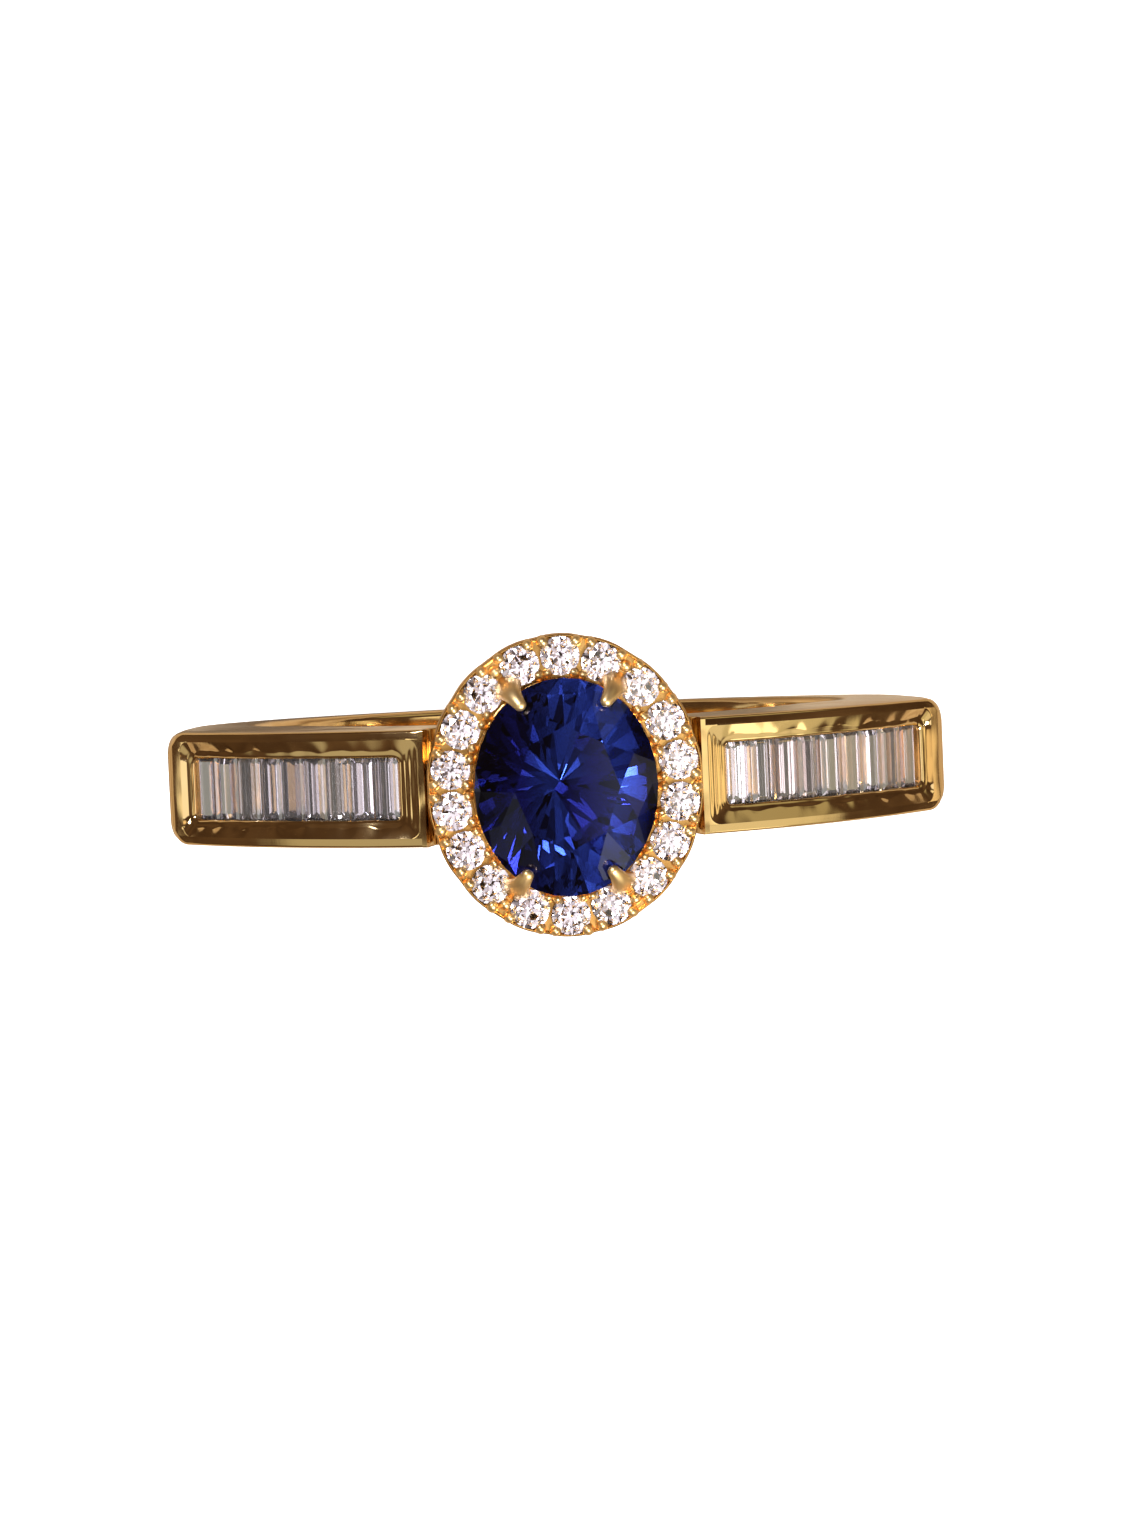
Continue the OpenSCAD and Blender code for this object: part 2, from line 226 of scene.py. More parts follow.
def cut(piece, cutter_verts, cutter_faces, name):
    """Takes a cutter away from a piece and leaves the result in its mesh."""
    cutter = new_piece(name, cutter_verts, cutter_faces)
    modifier = piece.modifiers.new(name, "BOOLEAN")
    modifier.operation = "DIFFERENCE"
    modifier.solver = "EXACT"
    modifier.object = cutter
    bpy.context.view_layer.update()
    graph = bpy.context.evaluated_depsgraph_get()
    result = bpy.data.meshes.new_from_object(piece.evaluated_get(graph))
    piece.modifiers.clear()
    piece.data = result
    bpy.data.objects.remove(cutter)
    smooth(result)


# ---- The ring seen along the finger, right half, as (x, z) ----

def on_crest_arc(a, radius):
    """The point at an angle from straight up on an arc about the crest's centre."""
    return (CREST_C[0] + radius * math.sin(a), CREST_C[1] + radius * math.cos(a))


SIDE_N = (math.cos(SIDE_A), -math.sin(SIDE_A))
SIDE_D = (math.sin(SIDE_A), math.cos(SIDE_A))
SIDE_START = (HOOP_R * SIDE_N[0], HOOP_R * SIDE_N[1])


def turn_centre():
    """Centre of the small arc that is tangent to the crest and to the leaning side."""
    x = SIDE_START[0] - TURN_R * SIDE_N[0] - CREST_C[0]
    z = SIDE_START[1] - TURN_R * SIDE_N[1] - CREST_C[1]
    along = x * SIDE_D[0] + z * SIDE_D[1]
    run = -along + math.sqrt(along ** 2 - (x * x + z * z) + (CREST_R - TURN_R) ** 2)
    return (CREST_C[0] + x + run * SIDE_D[0], CREST_C[1] + z + run * SIDE_D[1])


TURN_C = turn_centre()
TURN_A = math.atan2(TURN_C[0] - CREST_C[0], TURN_C[1] - CREST_C[1])


def side_corner():
    """Where the leaning side meets the arc of the channel floor."""
    x = SIDE_START[0] - CREST_C[0]
    z = SIDE_START[1] - CREST_C[1]
    along = x * SIDE_D[0] + z * SIDE_D[1]
    run = -along + math.sqrt(along ** 2 - (x * x + z * z) + FLOOR_R ** 2)
    return (SIDE_START[0] + run * SIDE_D[0], SIDE_START[1] + run * SIDE_D[1])


CORNER = side_corner()


def half_width(x, z):
    """Half the width of the band at a place on its outline, less where its plan has rounded corners."""
    over = abs(x) - (TURN_C[0] + TURN_R - PLAN_CORNER)
    corner = PLAN_CORNER - math.sqrt(max(PLAN_CORNER ** 2 - max(over, 0) ** 2, 0))
    return straight_width(z) - corner


def straight_width(z):
    """Half the width of the band at height z, before its plan's corners are rounded."""
    lip_z = on_crest_arc(LIP_A, CREST_R)[1]
    stops = [(-HOOP_R - 0.5, HOOP_HALF_W), (TURN_C[1], END_HALF_W), (lip_z, HALF_W)]
    for (z0, w0), (z1, w1) in zip(stops, stops[1:]):
        if z <= z1:
            return w0 + (w1 - w0) * (z - z0) / (z1 - z0)
    return HALF_W


def outline_depth(x, z):
    """How far a point lies inside the crest, the small turn and the leaning side."""
    side = (SIDE_START[0] - x) * SIDE_N[0] + (SIDE_START[1] - z) * SIDE_N[1]
    crest = CREST_R - math.hypot(x - CREST_C[0], z - CREST_C[1])
    dx = x - TURN_C[0]
    dz = z - TURN_C[1]
    past_side = dx * SIDE_D[0] + dz * SIDE_D[1]
    past_crest = dx * math.cos(TURN_A) - dz * math.sin(TURN_A)
    if past_side > 0 and past_crest > 0:
        return TURN_R - math.hypot(dx, dz)
    return min(side, crest)


def flank(x, z, fillet, buried):
    """Half the width of the band at a point buried so far below its rounded outer edge."""
    buried = min(max(buried, 0), fillet)
    return half_width(x, z) - fillet + math.sqrt(fillet ** 2 - (fillet - buried) ** 2)


# ---- Shank ----

def shank_outline():
    """Stations from the bottom of the hoop to the middle of the bridge, right half.

    Each is (x, z, outer fillet, crown, shared); a shared edge carries on the rounding of the channel frame.
    """
    stations = []
    for a in spaced(-math.pi / 2, -SIDE_A, 60):
        share = max(0.0, -math.sin(a) - math.sin(SIDE_A)) ** 1.5
        fillet = HOOP_FILLET + (SIDE_FILLET - HOOP_FILLET) * eased(1 - share)
        stations.append((HOOP_R * math.cos(a), HOOP_R * math.sin(a), fillet, HOOP_CROWN * share, False))
    for s in spaced(0, 1, 10)[1:]:
        x = SIDE_START[0] + (CORNER[0] - SIDE_START[0]) * s
        z = SIDE_START[1] + (CORNER[1] - SIDE_START[1]) * s
        stations.append((x, z, SIDE_FILLET, 0, True))
    corner_a = math.atan2(CORNER[0] - CREST_C[0], CORNER[1] - CREST_C[1])
    for s in spaced(0, 1, 36)[1:]:
        x, z = on_crest_arc(corner_a + (CHANNEL_A - corner_a) * s ** CROWDING, FLOOR_R)
        stations.append((x, z, SIDE_FILLET, 0, True))
    lip = on_crest_arc(LIP_A, CREST_R)
    for x, z in (on_crest_arc(CHANNEL_A, CREST_R - 0.02), on_crest_arc(CHANNEL_A, CREST_R), lip):
        stations.append((x, z, BRIDGE_FILLET, 0, False))
    for a in spaced(math.radians(-20), math.radians(-90), 12):
        x = lip[0] - COLLAR_R * (1 - math.cos(a))
        z = lip[1] + (lip[1] - BRIDGE_Z) * math.sin(a)
        stations.append((x, z, BRIDGE_FILLET, 0, False))
    for s in spaced(1, 0, 6)[1:]:
        stations.append(((lip[0] - COLLAR_R) * s, BRIDGE_Z, BRIDGE_FILLET, 0, False))
    return stations


def shank_section(bore, out, depth, fillet, crown, shared):
    """Half of a section as (distance out from the bore, distance across the band), for y >= 0.

    The section's middle line starts at a point on the bore and runs in direction out.
    """
    comfort = min(COMFORT_R, depth * 0.3)
    sink_edge = crown * (half_width(*(bore + out * depth)) / HOOP_HALF_W) ** 2
    top = depth - sink_edge
    fillet = min(fillet, (top - comfort) * 0.8)
    # A shared edge is measured square to the outline, so along this line its rounding runs a little further.
    reach = fillet * 1.1 if shared else fillet

    def across(r):
        x, z = bore + out * r
        return flank(x, z, fillet, outline_depth(x, z) if shared else top - r)

    inner = across(comfort)
    points = [(0, 0), (0, (inner - comfort) * 0.6), (0, inner - comfort)]
    for a in spaced(0, math.pi / 2, 5)[1:]:
        points.append((comfort * (1 - math.cos(a)), inner - comfort + comfort * math.sin(a)))
    middle = comfort + (top - reach - comfort) * 0.5
    points.append((middle, across(middle)))
    for a in spaced(0, math.pi / 2, 6):
        r = top - reach * (1 - math.sin(a))
        points.append((r, across(r)))
    edge = across(top)
    for share in (0.8, 0.6, 0.4, 0.2, 0):
        y = edge * share
        points.append((depth - sink_edge * (y / edge) ** 2 if crown else depth, y))
    return points


def shank():
    """The hoop with the seats of the channels and the bridge under the head, as one closed loft."""
    rings = []
    angle = -math.pi / 2
    for x, z, fillet, crown, shared in shank_outline():
        angle = max(angle, math.atan2(z, x))
        bore = Vector((BORE_R * math.cos(angle), BORE_R * math.sin(angle)))
        depth = (Vector((x, z)) - bore).length
        out = (Vector((x, z)) - bore) / depth
        half = shank_section(bore, out, depth, fillet, crown, shared)
        ring = [(bore + out * r, y) for r, y in half]
        ring += [(place, -y) for place, y in reversed(ring[1:-1])]
        rings.append([(place[0], y, place[1]) for place, y in ring])
    mirrored = [[(-x, y, z) for x, y, z in ring] for ring in reversed(rings[1:-1])]
    piece = new_piece("shank_body", *loft(rings + mirrored, closed=True))
    return weighted(piece)


# ---- Channel frame ----

ROW_END_A = ROW_A + BAGUETTES * PITCH_A
OPEN_START = (ROW_A - CHANNEL_A) * CREST_R
OPEN_END = (ROW_END_A - CHANNEL_A) * CREST_R
RIM_START = OPEN_START - END_BEVEL
RIM_END = OPEN_END + 0.3
CREST_RUN = (TURN_A - CHANNEL_A) * CREST_R
TURN_RUN = (math.pi / 2 + SIDE_A - TURN_A) * TURN_R
TURN_END = (TURN_C[0] + TURN_R * SIDE_N[0], TURN_C[1] + TURN_R * SIDE_N[1])
SIDE_RUN = math.hypot(TURN_END[0] - CORNER[0], TURN_END[1] - CORNER[1])
FRAME_RUN = CREST_RUN + TURN_RUN + SIDE_RUN


def outline_point(u):
    """The frame's outside at distance u from its inner end: crest, then turn, then side."""
    if u <= CREST_RUN:
        return on_crest_arc(CHANNEL_A + u / CREST_R, CREST_R)
    if u <= CREST_RUN + TURN_RUN:
        a = TURN_A + (u - CREST_RUN) / TURN_R
        return (TURN_C[0] + TURN_R * math.sin(a), TURN_C[1] + TURN_R * math.cos(a))
    down = u - CREST_RUN - TURN_RUN
    return (TURN_END[0] - SIDE_D[0] * down, TURN_END[1] - SIDE_D[1] * down)


def frame_point(u, y, height, floor=None):
    """A point on the ray from the crest's centre through the outline, by height over it or floor radius."""
    x, z = outline_point(u)
    dx = x - CREST_C[0]
    dz = z - CREST_C[1]
    length = math.hypot(dx, dz)
    radius = max(length + height, FLOOR_R) if floor is None else min(floor, length)
    return (CREST_C[0] + dx / length * radius, y, CREST_C[1] + dz / length * radius)


def frame_depth(u):
    """How far the channel floor lies below the outline, along the ray."""
    x, z = outline_point(u)
    return math.hypot(x - CREST_C[0], z - CREST_C[1]) - FLOOR_R


def rim_line(u):
    """Distance across the band where the rounded rim starts."""
    return straight_width(outline_point(u)[1]) - RIM_W


def beside_stones(u):
    """1 along the opening, falling to 0 at its ends."""
    fade = 0.25
    return eased((u - OPEN_START) / fade) * eased((OPEN_END - u) / fade)


def ripple(u, hand):
    """The uneven edge left by pushing the lip over the stones: -1 to 1, and 0 at the ends of the opening."""
    slow = 0.5 * math.sin(u / 0.24 + 2.1 * hand)
    medium = 0.35 * math.sin(u / 0.145 + 5.3 * hand)
    fast = 0.15 * math.sin(u / 0.08 + 1.7 * hand)
    return beside_stones(u) * (slow + medium + fast)


def inside(across_u, across_y, corner):
    """Distance inside a rounded rectangle, from how far a point lies past each pair of its straight sides."""
    past_u = across_u + corner
    past_y = across_y + corner
    return corner - math.hypot(max(past_u, 0), max(past_y, 0)) - min(max(past_u, past_y), 0)


def frame_height(u, y, hand=1.0):
    """The frame's height over the crest, negative below it: a rounded rim, a slope and a narrow lip."""
    rim = inside(max(RIM_START - u, u - RIM_END), y - rim_line(u), RIM_CORNER)
    if rim <= 0:
        out = min(max(y - rim_line(u), 0) / RIM_W, 1)
        return -RIM_FALL * (out + out * out) / 2
    opening = max(-inside(max(OPEN_START - u, u - OPEN_END), y - LIP_HALF, LIP_CORNER), 0)
    lip = LIP_W + 0.05 * ripple(u, hand)
    lip_height = -LIP_DROP + 0.009 * ripple(u + 0.4, hand)
    if opening <= lip:
        rolled = 1 - opening / lip
        return lip_height - 0.045 * rolled - 0.05 * rolled ** 5
    share = (opening - lip) / (opening - lip + rim)
    return lip_height - lip_height * share ** 0.92 + tool_marks(u, y)


def tool_marks(u, y):
    """Shallow grooves, 0.19 mm apart, in the slope at the opening's inner end, fading out at its corners."""
    along = OPEN_START - u
    fade = eased((along - max(y - LIP_HALF, 0) - 0.1) / 0.15) * eased((u - RIM_START) / 0.08)
    return 0.0035 * fade * math.sin(along / 0.03)


def edge_fillet(u):
    """The radius of the frame's outer edge: small along the crest, larger round the turn and the side."""
    share = eased((u - RIM_END + 0.1) / (CREST_RUN + TURN_RUN - RIM_END))
    return CREST_FILLET + (SIDE_FILLET - CREST_FILLET) * share


def frame_stations():
    """Distances along the frame, closer together round the opening's ends and at the foot of the side."""
    stations = [0, RIM_START * 0.5]
    stations += spaced(RIM_START, OPEN_START, 26)
    stations += spaced(OPEN_START, OPEN_START + LIP_CORNER, 7)[1:]
    stations += spaced(OPEN_START + LIP_CORNER, OPEN_END - LIP_CORNER, 110)[1:]
    stations += spaced(OPEN_END - LIP_CORNER, OPEN_END, 7)[1:]
    stations += spaced(OPEN_END, RIM_END, 14)[1:]
    stations += spaced(RIM_END, CREST_RUN, 4)[1:]
    stations += spaced(CREST_RUN, CREST_RUN + TURN_RUN, 10)[1:]
    stations += [FRAME_RUN - SIDE_RUN * (1 - s) ** CROWDING for s in spaced(0, 1, 14)[1:]]
    return stations


def rail_section(u, hand):
    """The rail's section at u, from the foot of its inner wall round to the foot of its flank."""
    half = half_width(*outline_point(u))
    # Where the corners of the plan narrow the band, the rounded edge and the rim give way to the opening.
    fillet = min(edge_fillet(u), half - LIP_HALF - 0.06)
    rim = min(rim_line(u), half - fillet - 0.03)
    low = frame_height(u, LIP_HALF, hand)
    edge = LIP_HALF + LIP_WANDER * ripple(u + 0.2, hand)
    section = [frame_point(u, STONE_HALF, 0, FLOOR_R)]
    section.append(frame_point(u, STONE_HALF, -LIP_UNDER))
    section.append(frame_point(u, edge + 0.02, low - 0.08))
    section.append(frame_point(u, edge, low - 0.05))
    section.append(frame_point(u, edge, low - 0.015 * beside_stones(u)))
    for y in spaced(LIP_HALF + LIP_WANDER, rim - 0.004, 20):
        section.append(frame_point(u, y, frame_height(u, y, hand)))
    for y in spaced(rim, half - fillet - 0.008, 5):
        section.append(frame_point(u, y, frame_height(u, y, hand)))
    drop = -frame_height(u, half - fillet)
    stretch = 1 + SIDE_STRETCH * eased((u - CREST_RUN) / TURN_RUN)
    sunk = [drop + stretch * fillet * (1 - math.cos(a)) for a in spaced(0, math.pi / 2, 7)[1:]]
    for above_floor in (0.6, 0):
        sunk.append(max(sunk[-1], frame_depth(u) - above_floor))
    for distance in sunk:
        x, _, z = frame_point(u, 0, -distance)
        section.append((x, flank(x, z, fillet, outline_depth(x, z) - drop), z))
    return section


def rail(side, back):
    """The front or back wall of a channel."""
    facing = 1 if back == "back" else -1
    hand = SIDES[side] + 0.4 * facing
    rings = []
    for u in frame_stations():
        rings.append([(SIDES[side] * x, facing * y, z) for x, y, z in rail_section(u, hand)])
    return weighted(new_piece(f"{side}_{back}_rail_body", *loft(rings)))


def corner_advance(y):
    """How far an end bar reaches into the opening at distance y across it."""
    over = max(abs(y) - (LIP_HALF - LIP_CORNER), 0)
    return LIP_CORNER - math.sqrt(max(LIP_CORNER ** 2 - over ** 2, 0))


def bar_rows():
    """Places across the band at which an end bar is drawn, closer together at the opening's corners."""
    flat = LIP_HALF - LIP_CORNER
    half = spaced(0, flat, 4) + [flat + LIP_CORNER * math.sin(a) for a in spaced(0, math.pi / 2, 9)[1:]]
    return [-y for y in reversed(half[1:])] + half


def end_bar(along, side):
    """One end bar of the channel; along(y) gives its distances from the inner end at place y across."""
    top = []
    bottom = []
    for y in bar_rows():
        hand = side + 0.4 * (1 if y > 0 else -1)
        top.append([frame_point(u, y, frame_height(u, abs(y), hand)) for u in along(y)])
        bottom.append([frame_point(u, y, 0, FLOOR_R + 0.02) for u in along(y)])
    return slab(top, bottom)


def channel_bed(side):
    """The floor strip under a row of baguettes and the bar at each end of it."""
    def inner(y):
        return [0, RIM_START * 0.5] + spaced(RIM_START, OPEN_START + corner_advance(y), 26)

    def outer(y):
        far = [RIM_END] + spaced(RIM_END, CREST_RUN, 3)[1:]
        far += spaced(CREST_RUN, CREST_RUN + TURN_RUN, 10)[1:]
        far += spaced(CREST_RUN + TURN_RUN, FRAME_RUN * 0.997, 6)[1:]
        return spaced(OPEN_END - corner_advance(y), RIM_END, 14)[:-1] + far

    floor_u = spaced(OPEN_START - 0.2, OPEN_END + 0.2, 24)
    across = (-STONE_HALF + 0.01, 0, STONE_HALF - 0.01)
    top = [[frame_point(u, y, 0, BED_R) for u in floor_u] for y in across]
    bottom = [[frame_point(u, y, 0, FLOOR_R + 0.01) for u in floor_u] for y in across]
    verts, faces = joined([end_bar(inner, SIDES[side]), end_bar(outer, SIDES[side]), slab(top, bottom)])
    verts = [(SIDES[side] * x, y, z) for x, y, z in verts]
    return weighted(new_piece(f"{side}_bed_body", verts, faces))


# ---- Cut stones ----

def hull_stone(name, points):
    """A faceted stone: the flat-sided skin round its corner points, given in millimetres."""
    data = bpy.data.meshes.new(name)
    edit = bmesh.new()
    for point in points:
        edit.verts.new(tuple(c * MM for c in point))
    bmesh.ops.convex_hull(edit, input=edit.verts)
    loose = [v for v in edit.verts if not v.link_faces]
    bmesh.ops.delete(edit, geom=loose, context="VERTS")
    bmesh.ops.dissolve_limit(edit, angle_limit=math.radians(0.4), verts=edit.verts, edges=edit.edges)
    bmesh.ops.recalc_face_normals(edit, faces=edit.faces)
    edit.to_mesh(data)
    edit.free()
    piece = bpy.data.objects.new(name, data)
    bpy.context.scene.collection.objects.link(piece)
    return piece


def baguette(side, number, rng):
    """A step-cut baguette with two crown steps and a stepped pavilion, each cut a little differently."""
    hx = 0.371
    hy = 0.93
    table = rng.uniform(0.42, 0.56)
    keel = rng.uniform(-0.16, 0.16) * hx
    lean = math.radians(rng.uniform(-1.6, 1.6))
    steps = [(table * hx, hy - rng.uniform(0.16, 0.24), 0.15), (0.80 * hx, hy - 0.09, 0.09), (hx, hy, 0.0)]
    steps += [(hx, hy, -0.05), (rng.uniform(0.76, 0.84) * hx, hy - 0.06, -0.15)]
    steps += [(rng.uniform(0.42, 0.54) * hx, hy - rng.uniform(0.12, 0.18), -0.275)]
    steps += [(0.04 * hx, hy - 0.28, -0.42)]
    angle = ROW_A + (number - 0.5) * PITCH_A
    points = []
    for half_x, half_y, height in steps:
        shift = keel * max(-height - 0.05, 0) / 0.4
        for sx in (-1, 1):
            for sy in (-1, 1):
                x = sx * half_x + shift
                x, z = x * math.cos(lean) + height * math.sin(lean), height - x * math.sin(lean)
                radius = CREST_R - GIRDLE_DROP + z
                px = CREST_C[0] + radius * math.sin(angle) + x * math.cos(angle)
                pz = CREST_C[1] + radius * math.cos(angle) - x * math.sin(angle)
                points.append((SIDES[side] * px, sy * half_y, pz))
    return hull_stone(f"{side}_baguette_{number}_cut", points)


def sapphire():
    """An oval mixed cut: table, star and girdle facets above, four tiers of facets below.

    Each tier is (corners, turn in steps, share of the girdle's size, height over the girdle).
    """
    half_x = 2.5
    half_y = 2.98
    girdle_z = 11.95
    tiers = [(8, 0, 0.57, 0.88), (8, 0.5, 0.80, 0.515), (16, 0, 0.935, 0.25), (32, 0, 1.0, 0.1)]
    tiers += [(32, 0, 1.0, 0.0), (16, 0.5, 0.76, -0.63), (16, 0, 0.47, -1.36), (8, 0.5, 0.22, -1.95)]
    tiers += [(2, 0.25, 0.05, -2.45)]
    rng = random.Random(5)
    points = []
    for count, offset, share, height in tiers:
        drift = 0.012 if height > 0.3 else 0.05 if height < -0.3 else 0
        for k in range(count):
            a = 2 * math.pi * (k + offset + rng.uniform(-2, 2) * drift) / count
            reach = share * (1 + rng.uniform(-1, 1) * drift)
            lean = -0.12 * max(-height - 0.6, 0)
            x = half_x * reach * math.cos(a) + lean
            points.append((x, half_y * reach * math.sin(a), girdle_z + height))
    return hull_stone("sapphire_cut", points)


# ---- Head ----

def oval(rx, ry, z, count=96):
    """Points round an oval at height z."""
    return [(rx * math.cos(a), ry * math.sin(a), z) for a in spaced(0, 2 * math.pi, count)[:-1]]


def oval_tube(profile):
    """A closed ring whose section is a list of (rx, ry, z)."""
    return loft([oval(rx, ry, z) for rx, ry, z in profile], closed=True)


def halo_angle(i):
    """Angle of halo stone i: six on each long side, three at each end, wider apart beside the claws."""
    if i < 6:
        return (i - 2.5) * HALO_STEP
    if i < 9:
        return math.pi / 2 + (i - 7) * HALO_STEP
    if i < 15:
        return math.pi + (i - 11.5) * HALO_STEP
    return 1.5 * math.pi + (i - 16) * HALO_STEP


def halo_place(angle):
    """The point on the stones' oval and the direction that faces outwards there."""
    t = angle - HALO_EVEN * math.sin(2 * angle)
    out = math.atan2(math.sin(t) / HALO_RY, math.cos(t) / HALO_RX)
    return (HALO_RX * math.cos(t), HALO_RY * math.sin(t)), out


def placed(points, centre, turn):
    """Points turned about the Z axis and then moved to a centre."""
    c = math.cos(turn)
    s = math.sin(turn)
    return [(centre[0] + x * c - y * s, centre[1] + x * s + y * c, z) for x, y, z in points]


def turned(profile, count):
    """Rings of a turned body from (radius, z) pairs."""
    return [[(r * math.cos(a), r * math.sin(a), z) for a in spaced(0, 2 * math.pi, count)[:-1]]
            for r, z in profile]


def scalloped(rx, ry, z):
    """An oval that draws in a little between the halo stones."""
    deepest = 0.03
    stone_reach = 0.58
    fade = 0.28
    stones = [halo_place(halo_angle(i))[0] for i in range(HALO_COUNT)]
    ring = []
    for x, y, _ in oval(rx, ry, z, PLATE_SEGMENTS):
        nearest = min(math.hypot(x - sx, y - sy) for sx, sy in stones)
        reach = math.hypot(x, y)
        pull = deepest * eased((nearest - stone_reach) / fade)
        ring.append((x * (1 - pull / reach), y * (1 - pull / reach), z))
    return ring


def halo_plate():
    """The oval plate with a thin raised wall at each edge, a seat for each stone and a hole below it."""
    trench = PLATE_TOP - 0.1
    rings = []
    for d, z in ((0.05, PLATE_BOTTOM), (0.01, PLATE_BOTTOM + 0.03), (0, PLATE_BOTTOM + 0.08),
                 (0, PLATE_TOP - 0.05), (0.012, PLATE_TOP - 0.018), (0.035, PLATE_TOP),
                 (0.055, PLATE_TOP), (0.075, PLATE_TOP - 0.015), (0.1, trench)):
        rings.append(scalloped(PLATE_RX - d, PLATE_RY - d, z))
    for d, z in ((0.11, trench), (0.09, PLATE_TOP - 0.01), (0.07, PLATE_TOP), (0.03, PLATE_TOP),
                 (0, PLATE_TOP - 0.03), (0, PLATE_BOTTOM)):
        rings.append(oval(SEAT_RX + d, SEAT_RY + d, z, PLATE_SEGMENTS))
    piece = new_piece("halo_plate_body", *loft(rings, closed=True))
    seats = []
    for i in range(HALO_COUNT):
        centre, out = halo_place(halo_angle(i))
        seat_r = HALO_D / 2 + 0.005
        hole_r = 0.26
        shape = turned([(hole_r, PLATE_BOTTOM - 0.3), (hole_r, PLATE_TOP - 0.24), (seat_r, PLATE_TOP - 0.02),
                        (seat_r, PLATE_TOP + 0.3)], 40)
        seats.append(loft([placed(ring, centre, out) for ring in shape]))
    cut(piece, *joined(seats), "seats")
    return weighted(piece)


def bead(radius, height, stretch):
    """A rounded grain on a short stem, stretched towards its stone."""
    profile = [(radius * 1.12, -0.12), (radius * 1.05, 0.0)]
    profile += [(radius * math.cos(a), height * math.sin(a)) for a in spaced(0.25, 1.45, 6)]
    return [[(x * stretch, y, z) for x, y, z in ring] for ring in turned(profile, 18)]


def grain(radius, height, stretch, centre, turn, sunk):
    """A bead in its place on the halo plate, with its foot sunk below the plate's top."""
    rings = [placed(ring, centre, turn) for ring in bead(radius, height, stretch)]
    return loft([[(x, y, z + PLATE_TOP - sunk) for x, y, z in ring] for ring in rings])


def halo_grains():
    """Grains that hold the halo stones.

    There are two at each outer gap, two at each inner gap that has no claw, and one outside each claw.
    """
    rng = random.Random(7)
    beside_claw = {5: 1, 8: 1, 14: 1, 17: 1, 6: -1, 9: -1, 15: -1, 0: -1}
    beads = []
    for i in range(HALO_COUNT):
        centre, out = halo_place(halo_angle(i))
        for facing, size in ((48, 0.155), (144, 0.14)):
            for hand in (-1, 1):
                radius = size * rng.uniform(0.92, 1.08)
                height = 0.23 * rng.uniform(0.93, 1.05)
                turn = out + hand * math.radians(facing + rng.uniform(-2, 2))
                reach = HALO_D / 2 + 0.05 + rng.uniform(-0.01, 0.01)
                if facing == 144 and beside_claw.get(i) == hand:
                    continue
                x = centre[0] + reach * math.cos(turn)
                y = centre[1] + reach * math.sin(turn)
                beads.append(grain(radius, height, 1.1, (x, y), turn, 0.03))
    for angle in (CLAW_A, math.pi - CLAW_A, math.pi + CLAW_A, -CLAW_A):
        (x, y), out = halo_place(angle)
        step = 0.2
        place = (x + step * math.cos(out), y + step * math.sin(out))
        beads.append(grain(0.17, 0.2, 0.9, place, out, 0.06))
    piece = new_piece("halo_grains_body", *joined(beads))
    smooth(piece.data, math.radians(60))
    return piece


def claw(number):
    """A claw, broad at its root beside the halo stones, that tapers and bends over the sapphire's edge."""
    angle = [CLAW_A, math.pi - CLAW_A, math.pi + CLAW_A, -CLAW_A][number - 1]
    centre, out = halo_place(angle)
    stem_z = PLATE_TOP + 0.22
    bend_r = 0.84
    bend_a = math.radians(65)
    inset = 0.38

    def ring(u, z, lean, thick, wide):
        points = []
        for b in spaced(0, 2 * math.pi, 28)[:-1]:
            along = thick * math.cos(b)
            x = -inset - u - along * math.cos(lean)
            points.append((x, -wide * math.sin(b), z - along * math.sin(lean)))
        return placed(points, centre, out)

    rings = [ring(-0.08, PLATE_TOP - 0.12, 0, 0.3, 0.42), ring(-0.03, PLATE_TOP + 0.04, 0, 0.27, 0.41)]
    for s in spaced(0, 1, 16):
        lean = bend_a * s
        u = bend_r * (1 - math.cos(lean))
        z = stem_z + bend_r * math.sin(lean)
        rings.append(ring(u, z, lean, 0.23 - 0.07 * s, 0.4 - 0.225 * s ** 0.85))
    tip_u = bend_r * (1 - math.cos(bend_a))
    tip_z = stem_z + bend_r * math.sin(bend_a)
    for b in (0.3, 0.6, 0.9, 1.15, 1.35, 1.5):
        run = 0.16 * math.sin(b)
        u = tip_u + run * math.sin(bend_a)
        z = tip_z + run * math.cos(bend_a)
        rings.append(ring(u, z, bend_a, 0.16 * math.cos(b), 0.175 * math.cos(b)))
    piece = new_piece(f"claw_{number}_body", *loft(rings))
    smooth(piece.data, math.radians(50))
    return piece


def sapphire_seat():
    """The oval bearer that the sapphire rests on."""
    top = PLATE_TOP + 0.27
    profile = [(SEAT_RX - 0.5, SEAT_RY - 0.5, PLATE_BOTTOM), (SEAT_RX - 0.02, SEAT_RY - 0.02, PLATE_BOTTOM)]
    profile += [(SEAT_RX, SEAT_RY, PLATE_BOTTOM + 0.03), (SEAT_RX, SEAT_RY, top - 0.03)]
    profile += [(SEAT_RX - 0.01, SEAT_RY - 0.01, top - 0.01), (SEAT_RX - 0.04, SEAT_RY - 0.035, top)]
    profile += [(SEAT_RX - 0.11, SEAT_RY - 0.09, top - 0.01), (SEAT_RX - 0.15, SEAT_RY - 0.13, top - 0.05)]
    return weighted(new_piece("sapphire_seat_body", *oval_tube(profile)))


